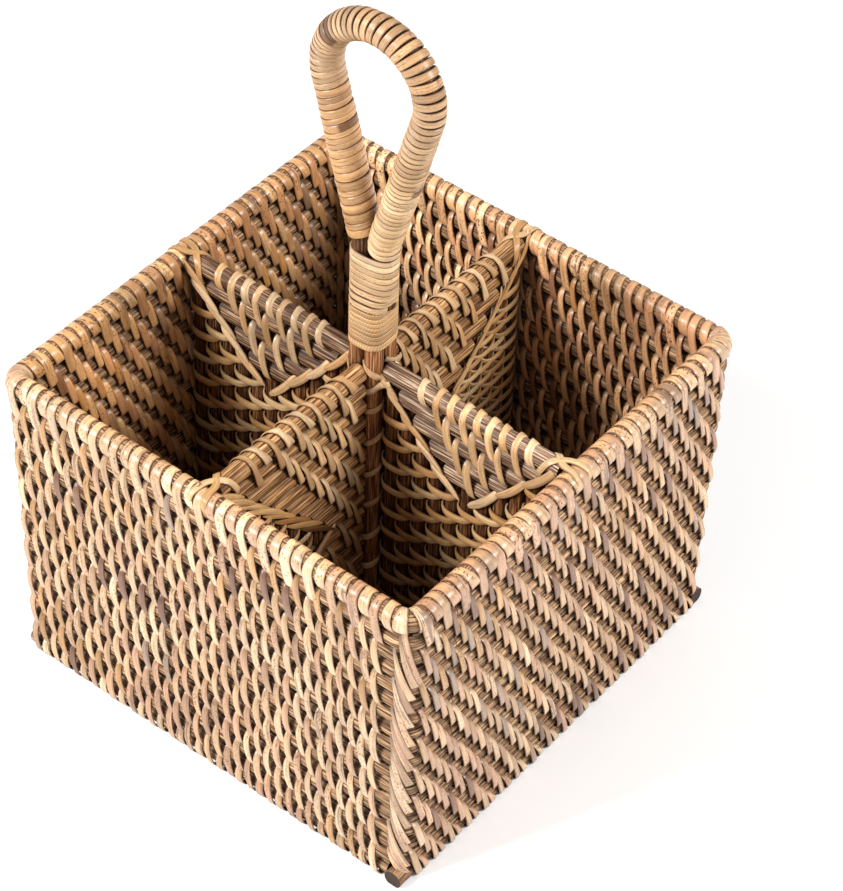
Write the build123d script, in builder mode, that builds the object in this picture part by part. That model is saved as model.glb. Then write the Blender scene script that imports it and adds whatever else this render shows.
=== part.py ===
from build123d import *
import math
import os

# A four-compartment cutlery holder of rattan rods, bound with rattan peel, with a loop handle.
# Millimetres. +Z is up, +X is the right side and -Y the front. The origin is the middle of the foot.

# Walls: square hoops of bent rod, stacked on four straight rails
wall_width = 190.0  # between the axes of opposite sides of the rim
wall_lean = 1.5  # how far the foot of each wall stands in from the rim
rod_diameter = 7.7
hoop_count = 16
corner_radius = 5.5  # bend of a hoop, on its axis
joint_offset = 22.0  # from the front right corner to the butt joint of each hoop
rail_overhang = 1.5  # how far the cut end of the right rail shows past the front wall
rail_tuck = 2.5  # how far the cut ends of the left and front rails stop short of the wall beside them
foot_flat = 0.5  # depth of the flat that each rail stands on

# Rim: a thicker hoop with a winding of peel along each side
rim_diameter = 8.0
rim_peel = 1.2
rim_turns = 24
rim_margin = 2.5  # from the bend of the rim to the first turn

# Floor: straight rods between the rails
floor_rod_diameter = 7.4
floor_rise = 1.0  # height of the underside of the floor

# Partitions: level courses and uprights that meet on slanted lines
course_diameter = 7.7
upright_diameter = 6.9
triangle_courses = 5  # courses over the uprights of the left and right partitions

# Posts and handle
post_diameter = 7.2
handle_diameter = 9.2
handle_peel = 1.7
handle_turns = 22  # in each of the three windings
crown_radius = 23.0  # of the handle's axis
loop_height = 69.0  # from where the legs part to the middle of the crown
splay_radius = 30.0  # bend where the legs part
split_rise = 5.0  # from the top of the neck winding to where the legs part
neck_peel = 1.3
neck_spacing = 1.05  # between the turns of the neck winding
neck_turns = 20
neck_rise = 6.6  # from the top of the rim rod to the neck winding
post_overlap_share = 0.45  # of the neck winding that grips the posts, the rest grips the legs

# Clearances
course_gap = 0.4  # room for the peel between neighbouring rods
seat_clearance = 0.3
peel_clearance = 0.2  # between a winding and what it is wound on

# How finely the windings are drawn and measured
steps_per_turn = 4
samples_per_turn = 24
small_turn_share = 0.001

rod_radius = rod_diameter / 2
rim_radius = rim_diameter / 2
course_pitch = rod_diameter + course_gap
rim_half = wall_width / 2
rail_half = rim_half - wall_lean
rail_z = rod_radius - foot_flat
top_hoop_z = rail_z + hoop_count * course_pitch
rim_z = top_hoop_z + rod_radius + rim_peel + 2 * peel_clearance + rim_radius
rim_top = rim_z + rim_radius
floor_z = floor_rise + floor_rod_diameter / 2
floor_top = floor_z + floor_rod_diameter / 2

os.makedirs("parts", exist_ok=True)


def keep(piece, label):
    """Name a finished piece and write it out."""
    piece.part.label = label
    export_step(piece.part, f"parts/{label}.step")


def turned(turn):
    """The ground plane turned about the vertical, with the wall in question towards its X."""
    return Plane.XY.rotated((0, 0, turn))


def bent_hoop(label, half, height, diameter):
    """A rod bent round four corners, whose ends meet on the right side."""
    joint_y = joint_offset - half
    with BuildPart() as hoop:
        with BuildLine(Plane.XY.offset(height)) as path:
            FilletPolyline(
                (half, joint_y + seat_clearance / 2),
                (half, half),
                (-half, half),
                (-half, -half),
                (half, -half),
                (half, joint_y - seat_clearance / 2),
                radius=corner_radius,
            )
        with BuildSketch(Plane(origin=path.line @ 0, z_dir=path.line % 0)):
            Circle(diameter / 2)
        sweep()
    keep(hoop, label)


def level_rods(label, frame, spans, diameter):
    """Level rods along the X of a frame, one for each start, end and height."""
    with BuildPart() as rods:
        for start, end, height in spans:
            origin = frame.from_local_coords((start, 0, height))
            with BuildSketch(Plane(origin=origin, z_dir=frame.x_dir)):
                Circle(diameter / 2)
            extrude(amount=end - start)
    keep(rods, label)


def upright_rods(label, frame, spans, diameter):
    """Upright rods along the X of a frame, one for each distance, foot and head."""
    with BuildPart() as rods:
        for distance, foot, head in spans:
            origin = frame.from_local_coords((distance, 0, foot))
            with BuildSketch(Plane(origin=origin)):
                Circle(diameter / 2)
            extrude(amount=head - foot)
    keep(rods, label)


def winding(label, turn_point, turns, peel):
    """One unbroken tube, two arcs to every step of a turn, with a straight tail at each end."""

    def way(turn):
        step = turn_point(turn + small_turn_share) - turn_point(turn - small_turn_share)
        return step.normalized()

    with BuildPart() as wound:
        with BuildLine() as path:
            Line(turn_point(0) - way(0) * peel, turn_point(0))
            for i in range(steps_per_turn * turns):
                here, there = i / steps_per_turn, (i + 1) / steps_per_turn
                start, end = turn_point(here), turn_point(there)
                span = end - start
                along = span.dot(way(here) + way(there))
                bend = 2 * (1 - way(here).dot(way(there)))
                reach = (math.sqrt(along**2 + bend * span.dot(span)) - along) / bend
                first_knee = start + way(here) * reach
                second_knee = end - way(there) * reach
                middle = (first_knee + second_knee) / 2
                TangentArc(start, middle, tangent=way(here))
                TangentArc(middle, end, tangent=second_knee - first_knee)
            Line(turn_point(turns), turn_point(turns) + way(turns) * peel)
        with BuildSketch(Plane(origin=path.line @ 0, z_dir=path.line % 0)):
            Circle(peel / 2)
        sweep()
    keep(wound, label)

    points = [turn_point(i / samples_per_turn) for i in range(turns * samples_per_turn + 1)]
    least = min(
        (points[i] - points[k]).length
        for i in range(len(points))
        for k in range(i + samples_per_turn // 2, min(i + 2 * samples_per_turn, len(points)))
    )
    print(f"{label}: least gap to itself {least - peel:.2f} mm")


# Base rails: each butts against the next, and its other end shows at the corner
rail_sides = ("right", "back", "left", "front")
rail_overhangs = {"right": rail_overhang, "back": 0, "left": -rail_tuck, "front": -rail_tuck}
for i, side in enumerate(rail_sides):
    frame = turned(i * 90)
    rail_start = -(rail_half + rod_radius + rail_overhangs[side])
    rail_end = rail_half - rod_radius - seat_clearance
    with BuildPart() as rail:
        origin = frame.from_local_coords((rail_half, rail_start, rail_z))
        with BuildSketch(Plane(origin=origin, z_dir=frame.y_dir)):
            Circle(rod_radius)
        extrude(amount=rail_end - rail_start)
        split(bisect_by=Plane.XY, keep=Keep.TOP)
    keep(rail, f"base_rail_{side}")

# Wall hoops: they widen evenly from the rails to the rim
for i in range(1, hoop_count + 1):
    hoop_half = rail_half + wall_lean * i / hoop_count
    bent_hoop(f"wall_hoop_{i:02d}", hoop_half, rail_z + i * course_pitch, rod_diameter)

# Rim rod and its four windings
bent_hoop("rim_rod", rim_half, rim_z, rim_diameter)
rim_wound_half = rim_half - corner_radius - rim_margin
rim_winding_radius = rim_radius + peel_clearance + rim_peel / 2


def rim_turn_point(frame):
    def point(turn):
        angle = math.radians(360 * turn - 90)
        out = rim_half + rim_winding_radius * math.cos(angle)
        along = rim_wound_half * (2 * turn / rim_turns - 1)
        return frame.from_local_coords(Vector(out, along, rim_z + rim_winding_radius * math.sin(angle)))

    return point


for i, side in enumerate(rail_sides):
    winding(f"rim_binding_{side}", rim_turn_point(turned(i * 90)), rim_turns, rim_peel)

# Floor rods: they run from the left rail to the right one
floor_half = rail_half - rod_radius - seat_clearance
floor_count = int((2 * floor_half + course_gap) / (floor_rod_diameter + course_gap))
floor_pitch = (2 * floor_half - floor_rod_diameter) / (floor_count - 1)
with BuildPart() as floor:
    with BuildSketch(Plane(origin=(-floor_half, 0, floor_z), x_dir=(0, 1, 0), z_dir=(1, 0, 0))):
        with GridLocations(floor_pitch, 0, floor_count, 1):
            Circle(floor_rod_diameter / 2)
    extrude(amount=2 * floor_half)
keep(floor, "floor_rods")

# Posts: one in each corner of the cross, from the floor into the neck winding
stand_z = floor_top + seat_clearance
neck_pitch = neck_peel + neck_spacing
neck_bottom = rim_top + neck_rise
neck_top = neck_bottom + neck_turns * neck_pitch
post_top = neck_bottom + post_overlap_share * neck_turns * neck_pitch
post_offset = (post_diameter + seat_clearance) / 2
for i, corner in enumerate(("back_right", "back_left", "front_left", "front_right")):
    with BuildPart() as post:
        origin = turned(i * 90).from_local_coords((post_offset, post_offset, stand_z))
        with BuildSketch(Plane(origin=origin)):
            Circle(post_diameter / 2)
        extrude(amount=post_top - stand_z)
    keep(post, f"post_{corner}")

# Partitions: courses and uprights share one grid, so that their slanted seams come out even
rim_inside = rim_half - rim_winding_radius - rim_peel / 2
hoop_inside = rail_half - rod_radius
panel_start = post_offset + post_diameter / 2 + seat_clearance
panel_end = min(rim_inside, hoop_inside) - seat_clearance
panel_length = panel_end - panel_start
upright_count = int((panel_length + course_gap) / (upright_diameter + course_gap))
upright_pitch = panel_length / upright_count
panel_height = rim_top - stand_z
course_count = 1 + int((panel_height - course_diameter) / (course_diameter + course_gap))
panel_pitch = (panel_height - course_diameter) / (course_count - 1)
course_margin = course_diameter / 2 + course_gap


def course_z(course):
    """Height of a course's axis, counted down from the top."""
    return rim_top - course_diameter / 2 - course * panel_pitch


def upright_x(upright):
    """Distance of an upright from the middle, counted from the posts."""
    return panel_start + (upright + 1 / 2) * upright_pitch


# Left and right partitions: a hanging triangle of courses over a full row of uprights
for turn, side in ((0, "right"), (180, "left")):
    courses = [
        (panel_start + i * upright_pitch, panel_end - i * upright_pitch, course_z(i))
        for i in range(triangle_courses)
    ]
    uprights = []
    for i in range(upright_count):
        lowest = min(i, upright_count - 1 - i, triangle_courses - 1)
        uprights.append((upright_x(i), stand_z, course_z(lowest) - course_margin))
    level_rods(f"partition_{side}_courses", turned(turn), courses, course_diameter)
    upright_rods(f"partition_{side}_uprights", turned(turn), uprights, upright_diameter)

# Front and back partitions: a triangle of uprights at the wall, and courses from there to the posts
mitre_depth = min((course_count - 1) // 2, upright_count - 2)
for turn, side in ((90, "back"), (270, "front")):
    courses = []
    for i in range(course_count):
        inset = min(i, course_count - 1 - i, mitre_depth)
        courses.append((panel_start, panel_end - inset * upright_pitch, course_z(i)))
    uprights = [
        (
            upright_x(upright_count - 1 - i),
            course_z(course_count - 1 - i) + course_margin,
            course_z(i) - course_margin,
        )
        for i in range(mitre_depth)
    ]
    level_rods(f"partition_{side}_courses", turned(turn), courses, course_diameter)
    upright_rods(f"partition_{side}_uprights", turned(turn), uprights, upright_diameter)

# Handle rod: two legs that part above the neck and lean out to a round crown
handle_radius = handle_diameter / 2
leg_offset = (handle_diameter + seat_clearance) / 2
leg_foot = post_top + seat_clearance
split_z = neck_top + split_rise
crown_z = split_z + loop_height
lean = math.asin(crown_radius / math.hypot(leg_offset, loop_height)) - math.atan2(leg_offset, loop_height)
shoulder_x = crown_radius * math.cos(lean)
shoulder_z = crown_z - crown_radius * math.sin(lean)
with BuildPart() as handle:
    with BuildLine(Plane.XZ) as loop:
        FilletPolyline(
            (-leg_offset, leg_foot),
            (-leg_offset, split_z),
            (-shoulder_x, shoulder_z),
            radius=splay_radius,
        )
        ThreePointArc((-shoulder_x, shoulder_z), (0, crown_z + crown_radius), (shoulder_x, shoulder_z))
        FilletPolyline(
            (shoulder_x, shoulder_z),
            (leg_offset, split_z),
            (leg_offset, leg_foot),
            radius=splay_radius,
        )
    with BuildSketch(Plane.XY.offset(leg_foot)):
        with Locations((-leg_offset, 0)):
            Circle(handle_radius)
    sweep()
keep(handle, "handle_rod")

# Handle windings: left leg, crown and right leg, from where the legs leave room for the peel
handle_winding_radius = handle_radius + peel_clearance + handle_peel / 2
wound_x = handle_winding_radius + handle_peel / 2 + seat_clearance
crown_half = crown_radius * (math.pi / 2 + lean)
wound_half = crown_half + (shoulder_x - wound_x) / math.sin(lean)
winding_length = 2 * wound_half / 3
handle_run = winding_length - 2 * handle_peel  # leaves room for the tails of the next winding


def handle_axis(distance):
    """Point and outward direction on the handle's axis, at a distance from the top of the crown."""
    bow = max(-crown_half, min(crown_half, distance))
    angle = bow / crown_radius
    outward = Vector(math.sin(angle), 0, math.cos(angle))
    forward = Vector(math.cos(angle), 0, -math.sin(angle))
    return Vector(0, 0, crown_z) + outward * crown_radius + forward * (distance - bow), outward


def handle_turn_point(middle):
    def point(turn):
        axis, outward = handle_axis(middle + handle_run * (turn / handle_turns - 1 / 2))
        angle = math.radians(360 * turn + 180)
        swing = outward * math.cos(angle) + Vector(0, 1, 0) * math.sin(angle)
        return axis + swing * handle_winding_radius

    return point


for i, stretch in enumerate(("left", "crown", "right")):
    winding(f"handle_binding_{stretch}", handle_turn_point((i - 1) * winding_length), handle_turns, handle_peel)

# Neck winding: it holds the posts and the legs of the handle together
post_reach = math.sqrt(2) * post_offset + post_diameter / 2
leg_reach = leg_offset + handle_radius
neck_winding_radius = max(post_reach, leg_reach) + peel_clearance + neck_peel / 2


def neck_turn_point(turn):
    angle = math.radians(360 * turn + 90)
    x, y = neck_winding_radius * math.cos(angle), neck_winding_radius * math.sin(angle)
    return Vector(x, y, neck_bottom + turn * neck_pitch)


winding("neck_binding", neck_turn_point, neck_turns, neck_peel)
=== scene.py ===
import math
import random

import bpy
import numpy as np
from mathutils import Matrix, Vector


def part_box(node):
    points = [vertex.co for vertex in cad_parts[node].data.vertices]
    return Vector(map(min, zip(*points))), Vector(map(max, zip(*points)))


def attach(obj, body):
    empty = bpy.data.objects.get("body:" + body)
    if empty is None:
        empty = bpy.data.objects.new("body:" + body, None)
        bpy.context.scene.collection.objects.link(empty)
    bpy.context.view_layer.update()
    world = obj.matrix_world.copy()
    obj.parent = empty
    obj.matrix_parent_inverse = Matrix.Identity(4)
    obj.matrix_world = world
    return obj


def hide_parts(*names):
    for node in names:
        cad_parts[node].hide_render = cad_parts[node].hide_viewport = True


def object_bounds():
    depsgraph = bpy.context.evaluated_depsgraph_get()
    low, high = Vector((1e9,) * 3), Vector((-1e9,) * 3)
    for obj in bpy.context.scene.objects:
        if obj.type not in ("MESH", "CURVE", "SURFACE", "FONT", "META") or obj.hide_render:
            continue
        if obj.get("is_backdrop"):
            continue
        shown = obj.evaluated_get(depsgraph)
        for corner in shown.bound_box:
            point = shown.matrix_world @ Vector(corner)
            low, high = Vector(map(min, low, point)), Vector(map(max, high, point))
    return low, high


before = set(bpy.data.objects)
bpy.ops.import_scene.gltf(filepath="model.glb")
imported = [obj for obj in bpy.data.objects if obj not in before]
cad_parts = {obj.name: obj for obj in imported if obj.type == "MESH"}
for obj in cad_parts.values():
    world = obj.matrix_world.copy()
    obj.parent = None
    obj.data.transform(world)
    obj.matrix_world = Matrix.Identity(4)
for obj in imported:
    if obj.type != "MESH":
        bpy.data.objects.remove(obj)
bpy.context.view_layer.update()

# A rattan cutlery holder: the solid rods stay, and every strip of peel is a strip of mesh laid round them.
# Lengths here are in millimetres, and become metres when a mesh is made.
MM = 0.001
UP = np.array((0.0, 0.0, 1.0))
quarter_angle = math.pi / 2
rng = random.Random(11)

# Sizes shared with the solids
rod_radius, rim_radius, corner_radius = 3.85, 4.0, 5.5
wall_rods, course_count, upright_count = 16, 17, 11
panel_start, panel_end = 7.65, 89.3
upright_pitch = (panel_end - panel_start) / upright_count
upright_radius = 3.45
course_top, course_pitch = 142.55, 8.125
post_offset, post_radius = 3.75, 3.6
crown_radius, crown_z, lean = 23.0, 274.0, math.radians(15.505)
handle_radius, leg_offset = 4.6, 4.75
neck_bottom, neck_top = 153.0, 200.0

# Limits of every strip: half the plan, and the ground
reach, ground = 100.36, 0.02

# Spacing of the lashing on the walls and on the partitions
strap_pitch, panel_pitch = 10.2, 12.2

# The level direction that runs to the right in the photo
rightward = np.array([0.796, 0.606, 0])


def rod_of(node, radius):
    """A rod's middle on the right side, out and up, and its radius."""
    _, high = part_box(node)
    return high.x / MM - radius, high.z / MM - radius, radius


hoops = [rod_of(f"wall_hoop_{i:02d}", rod_radius) for i in range(1, wall_rods + 1)]
rail = (hoops[0][0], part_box("base_rail_right")[1].z / MM - rod_radius, rod_radius)
rim = rod_of("rim_rod", rim_radius)
rods = [rail, *hoops, rim]


def wall_half(z):
    """How far out the rods of the walls stand at a height."""
    foot = hoops[0]
    return foot[0] + (rim[0] - foot[0]) * (z - foot[1]) / (rim[1] - foot[1])


def course_z(i):
    return course_top - course_pitch * i


def upright_x(i):
    return panel_start + (i + 0.5) * upright_pitch


def tone(r, g, b):
    """A screen colour, 0 to 255, as linear light."""
    shares = (r / 255, g / 255, b / 255)
    return np.array([c / 12.92 if c <= 0.04045 else ((c + 0.055) / 1.055) ** 2.4 for c in shares])


def unit(v):
    return v / np.maximum(np.linalg.norm(v, axis=-1, keepdims=True), 1e-9)


def travelled(path):
    """The length along a path at each of its points."""
    return np.r_[0, np.cumsum(np.linalg.norm(np.diff(path, axis=0), axis=1))]


def quarter_turn(quarter):
    """The matrix that turns rows of points about the upright axis by some quarters."""
    return np.array(Matrix.Rotation(quarter * quarter_angle, 3, "Z")).T


def smooth(points, count):
    """A Catmull-Rom curve through a few points, as count points."""
    p = np.array(points, float)
    p = np.vstack([2 * p[0] - p[1], p, 2 * p[-1] - p[-2]])
    t = np.linspace(0, len(p) - 3, count)
    i = np.minimum(t.astype(int), len(p) - 4)
    f = (t - i)[:, None]
    a, b, c, d = p[i], p[i + 1], p[i + 2], p[i + 3]
    return b + 0.5 * f * (c - a + f * (2 * a - 5 * b + 4 * c - d + f * (3 * (b - c) + d - a)))


# Strips of peel

# The section of a strip, in shares of half its width and of its thickness
across = np.array([-1, -1, -0.8, 0, 0.8, 1, 1])
rise = np.array([0, 0.62, 0.93, 1, 0.93, 0.62, 0])
crisp = math.radians(34)


class Strips:
    """Flat strips with a slightly crowned face and crisp edges, gathered into one mesh."""

    def __init__(self):
        self.points, self.quads, self.caps, self.tones, self.strips = [], [], [], [], []
        self.count = 0

    def add(self, path, outward, width, colour, thick, roll=0.0):
        """One strip whose underside follows a path and whose face looks outward."""
        path, outward = np.asarray(path, float), np.asarray(outward, float)
        n, k = len(path), len(across)
        way = unit(np.gradient(path, axis=0))
        side = unit(np.cross(way, outward))
        normal = np.cross(side, way)
        roll = np.broadcast_to(roll, (n,))[:, None]
        side, normal = side * np.cos(roll) + normal * np.sin(roll), normal * np.cos(roll) - side * np.sin(roll)
        width = np.broadcast_to(width, (n,))[:, None, None]
        thick = np.broadcast_to(thick, (n,))[:, None, None]
        ring = path[:, None] + side[:, None] * across[:, None] * width / 2 + normal[:, None] * rise[:, None] * thick
        ring[..., :2] = np.clip(ring[..., :2], -reach, reach)
        ring[..., 2] = np.maximum(ring[..., 2], ground)
        strip = np.empty((n, k, 3))
        strip[..., 0] = travelled(path)[:, None] + rng.uniform(0, 900)
        strip[..., 1] = across
        strip[..., 2] = rng.uniform(0, 50)
        index = self.count + np.arange(n * k).reshape(n, k)
        after = np.roll(index, -1, axis=1)
        self.quads.append(np.stack([index[:-1], after[:-1], after[1:], index[1:]], -1).reshape(-1, 4))
        self.caps += [index[0, ::-1], index[-1]]
        self.points.append(ring.reshape(-1, 3))
        self.tones.append(np.repeat(np.broadcast_to(colour, (n, 3)), k, axis=0))
        self.strips.append(strip.reshape(-1, 3))
        self.count += n * k

    def piece(self, name, material, slot, *nodes):
        """The strips as one object that rides on the body, in place of any CAD nodes that are named."""
        quads, caps = np.vstack(self.quads), np.array(self.caps)
        corners = np.concatenate([quads.ravel(), caps.ravel()]).astype(np.int32)
        sizes = np.concatenate([np.full(len(quads), 4), np.full(len(caps), caps.shape[1])])
        starts = np.concatenate([[0], np.cumsum(sizes)[:-1]]).astype(np.int32)
        mesh = bpy.data.meshes.new(name)
        mesh.vertices.add(self.count)
        mesh.vertices.foreach_set("co", (np.vstack(self.points) * MM).ravel().astype(np.float32))
        mesh.loops.add(len(corners))
        mesh.loops.foreach_set("vertex_index", corners)
        mesh.polygons.add(len(sizes))
        mesh.polygons.foreach_set("loop_start", starts)
        mesh.polygons.foreach_set("use_smooth", np.ones(len(sizes), bool))
        mesh.update(calc_edges=True)
        mesh.validate()
        mesh.set_sharp_from_angle(angle=crisp)
        colours = np.hstack([np.vstack(self.tones), np.ones((self.count, 1))])
        tones = mesh.attributes.new("tone", "FLOAT_COLOR", "POINT")
        tones.data.foreach_set("color", colours.ravel().astype(np.float32))
        places = mesh.attributes.new("strip", "FLOAT_VECTOR", "POINT")
        places.data.foreach_set("vector", np.vstack(self.strips).ravel().astype(np.float32))
        mesh.materials.append(material)
        obj = bpy.data.objects.new(name, mesh)
        bpy.context.scene.collection.objects.link(obj)
        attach(obj, "root")
        if nodes:
            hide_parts(*nodes)


class Face:
    """A wall or partition seen from one side: along runs to the right, out towards the viewer."""

    def __init__(self, out):
        self.out = np.array(out, float)
        self.along = np.cross(UP, self.out)

    def at(self, along, out, up):
        return np.multiply.outer(along, self.along) + np.multiply.outer(out, self.out) + np.multiply.outer(up, UP)

    def aim(self, along, up, out, rise):
        """An outward direction at a place, from its parts out of the face and up."""
        return self.at(np.zeros(len(along)), out, rise)


class Wall(Face):
    """A wall, whose rods bend away at both corners."""

    def bent(self, along, up):
        """How far out the rods are, where their bend begins, towards which corner, and the angle round it."""
        half = wall_half(up)
        begin = half - corner_radius
        turn = np.clip((np.abs(along) - begin) / (corner_radius + rod_radius), 0, quarter_angle)
        return half, begin, np.sign(along), turn

    def at(self, along, out, up):
        half, begin, sign, turn = self.bent(along, up)
        r = corner_radius + out - half
        flat = np.where(turn > 0, sign * (begin + r * np.sin(turn)), along)
        return super().at(flat, begin + r * np.cos(turn), up)

    def aim(self, along, up, out, rise):
        _, _, sign, turn = self.bent(along, up)
        return super().at(sign * np.sin(turn) * out, np.cos(turn) * out, rise)


# Tones of the peel with their weights: a strip keeps its tone for some turns, then the next strip is let in
wall_tones = [
    (tone(218, 178, 138), 34),
    (tone(206, 162, 128), 26),
    (tone(228, 194, 156), 22),
    (tone(204, 158, 108), 8),
    (tone(166, 141, 121), 4),
    (tone(136, 100, 80), 4),
]
pale_tones = wall_tones[:3]
# A darker copy of the wall tones, with more of the dark straps, for the right wall and its rim: painted shade
shaded_wall_tones = [(t * 0.9, weight) for (t, _), weight in zip(wall_tones, (30, 26, 16, 8, 7, 8))]
panel_tones = [(tone(220, 178, 130), 30), (tone(208, 162, 112), 24), (tone(230, 194, 150), 24)]
golden_tones = [(tone(220, 174, 118), 30), (tone(206, 156, 100), 20), (tone(226, 188, 138), 20)]
burnt_tones = golden_tones + [(tone(160, 112, 66), 18), (tone(120, 80, 46), 9)]
straw_tones = [(tone(210, 172, 128), 6), (tone(204, 162, 116), 4), (tone(216, 180, 138), 3)]
# Peel on the inside of the walls is less bleached. Painted shade darkens the inside of the walls and the stitches
# towards the bottom of the holder.
aged = np.array([1.16, 1.02, 0.86])
# Painted light on the inner faces of the front, right and back walls, and painted shade on the inner face of the left
# wall
lit_inside, shaded_inside = 1.14, np.array([0.84, 0.8, 0.68])
wall_depth_shade = ((0, 45, 95), (0.5, 0.78, 1.0))
stitch_depth_shade = ((8, 55, 100), (0.5, 0.8, 1.0))


def pick(palette):
    return rng.choices([t for t, _ in palette], [w for _, w in palette])[0] * rng.uniform(0.9, 1.08)


def runs(count, palette, least, most):
    """A tone for each of count turns, in runs of least to most turns."""
    tones = []
    while len(tones) < count:
        base = pick(palette)
        tones += [base * rng.uniform(0.78, 1.14) for _ in range(rng.randint(least, most))]
    return np.array(tones[:count])


# Lashing round two neighbouring rods: a strap lies round over the upper rod, stands off the lower one
# and dives in below it

snug, slack = 0.06, 0.45
strap_thick, lash_runs = 0.58, (1, 5)
# The foot of a strap round the lower rod, in shares of the rod's radius
foot_out = np.array([1, 0.98, 0.88, 0.7, 0.46, 0.2, 0])
foot_up = np.array([0, 0.38, 0.66, 0.86, 0.98, 1.03, 1.04])
# How far a strap stands off, by its share of the way from the top down
stand_off = ((0, 0.22, 0.5, 0.72, 0.9, 1), (0, 0.3, 1, 0.8, 0.15, 0))
# Ends of the painted light and shade gradient along a wall's inner face
light_fade_ends = (-60, 60)


def half_turn(low, high, way):
    """Half of a strap's turn round two rods, from the top down: out and up, and the share of the way."""
    a = np.radians(np.linspace(0, 90, 6))
    r = high[2] + snug
    top = np.stack([high[0] + way * r * np.sin(a), high[1] + r * np.cos(a)], 1)
    r = low[2] + snug
    foot = np.stack([low[0] + way * r * foot_out, low[1] - r * foot_up], 1)
    line = np.vstack([top, top[-1] + (foot[0] - top[-1]) * np.array([[0.33], [0.67]]), foot])
    line = line[np.r_[True, np.linalg.norm(np.diff(line, axis=0), axis=1) > 0.05]]
    length = travelled(line)
    return line, length / length[-1]


def sway(s):
    return 0.25 * s + 0.75 * s * s


def lash(strips, face, low, high, start, stop, phase, width, pitch=strap_pitch, palette=wall_tones, lift=0.8,
         twist=(26, 24, 6, -6), inside=aged, spread=1.2, foot=(0.5, 0.58), light_fade=(1.0, 1.0)):
    """One strip wound along two rods: up the inside, over the top, down the outside.

    Tops lie at phase and every pitch from it. A strap stands off by lift and rolls by twist, in degrees from its top
    down. Its inner half is wider by spread and tinted by inside, and made lighter or darker from end to end by the
    fade, which is painted light and shade. Foot is the share of its width at the lower end, and its thickness there.
    """
    first = math.ceil((start - phase) / pitch)
    turns = math.floor((stop - phase) / pitch) - first + 1
    if turns < 1:
        return
    inner, inner_share = half_turn(low, high, -1)
    outer, outer_share = half_turn(low, high, 1)
    ring = np.vstack([inner[::-1], outer[1:-1]])
    share = np.r_[inner_share[::-1], outer_share[1:-1]]
    way = np.r_[-np.ones(len(inner)), np.ones(len(outer) - 2)]
    tangent = np.roll(ring, -1, axis=0) - np.roll(ring, 1, axis=0)
    normal = unit(np.stack([-tangent[:, 1], tangent[:, 0]], 1))
    n = len(ring)
    turn = np.repeat(np.arange(turns), n)
    drift = np.array([rng.uniform(-slack, slack) for _ in range(2 * turns + 2)])
    place = 2 * (np.tile(np.arange(n) / n, turns) + turn)
    along = phase + pitch * (first - 0.5 + turn) + np.tile((1 + way * sway(share)) * pitch / 2, turns)
    along += np.interp(place, np.arange(2 * turns + 2), drift)
    bulge = np.tile(way * np.interp(share, *stand_off), turns)
    bulge *= np.array([rng.uniform(0.55, 1) * lift for _ in range(turns)])[turn]
    ring, normal = np.tile(ring, (turns, 1)), np.tile(normal, (turns, 1))
    path = face.at(along, ring[:, 0] + bulge, ring[:, 1])
    outward = face.aim(along, ring[:, 1], normal[:, 0], normal[:, 1])
    taper = (0.8, 0.92, 1, 1, 0.3 + foot[0], foot[0])
    wide = np.tile(np.interp(share, [0, 0.12, 0.3, 0.74, 0.88, 1], taper), turns)
    wide *= width * np.array([rng.uniform(0.86, 1.12) for _ in range(turns)])[turn]
    wide *= np.tile(np.where(way < 0, spread, 1.0), turns)
    thick = np.tile(np.interp(share, [0.6, 1], [strap_thick, foot[1]]), turns)
    roll = np.tile(np.radians(np.interp(share, [0, 0.3, 0.7, 1], twist)) * np.where(way < 0, 0.5, 1.0), turns)
    colours = runs(turns, palette, *lash_runs)[turn]
    # Painted light and shade: the inner half lighter or darker from end to end
    light_faded = np.interp(along, light_fade_ends, light_fade)[:, None]
    colours = np.where(np.tile(way < 0, turns)[:, None], colours * inside * light_faded, colours)
    strips.add(path, outward, wide, colours, thick, roll)


def band(strips, face, stops, width, colour, thick, count, shape):
    """One short strip through a few stops, each along, out, up and its outward direction in the same axes."""
    line = smooth(stops, count)
    path = face.at(line[:, 0], line[:, 1], line[:, 2])
    outward = face.at(line[:, 3], line[:, 4], line[:, 5])
    strips.add(path, outward, width * np.interp(np.linspace(0, 1, count), *shape), colour, thick)


# Walls

sides = {"front": (0, -1, 0), "right": (1, 0, 0), "back": (0, 1, 0), "left": (-1, 0, 0)}
strap_start, strap_stop, front_stop = -94, 90, 84
rail_start, rail_strap_width = -92, 2.9
rim_start, rim_stop, rim_pair_stop = -92, 92, 89
most_lift, lift_margin = 1.6, 0.7
wall_styles = {
    "front": {"width": 2.6},
    "right": {"width": 2.9, "palette": shaded_wall_tones, "twist": (14, 12, 2, -6)},
    "back": {"width": 2.6},
    # The left wall's inner face is darker at the back and lighter at the front: painted light and shade
    "left": {"width": 2.6, "light_fade": (0.84, 1.45)},
}
# A strip under the rim that closes the slot between it and the highest rod
core_half, core_count = 96, 97
core_width, core_thick, core_tone = 4.4, 1.2, tone(126, 88, 56)

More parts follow.
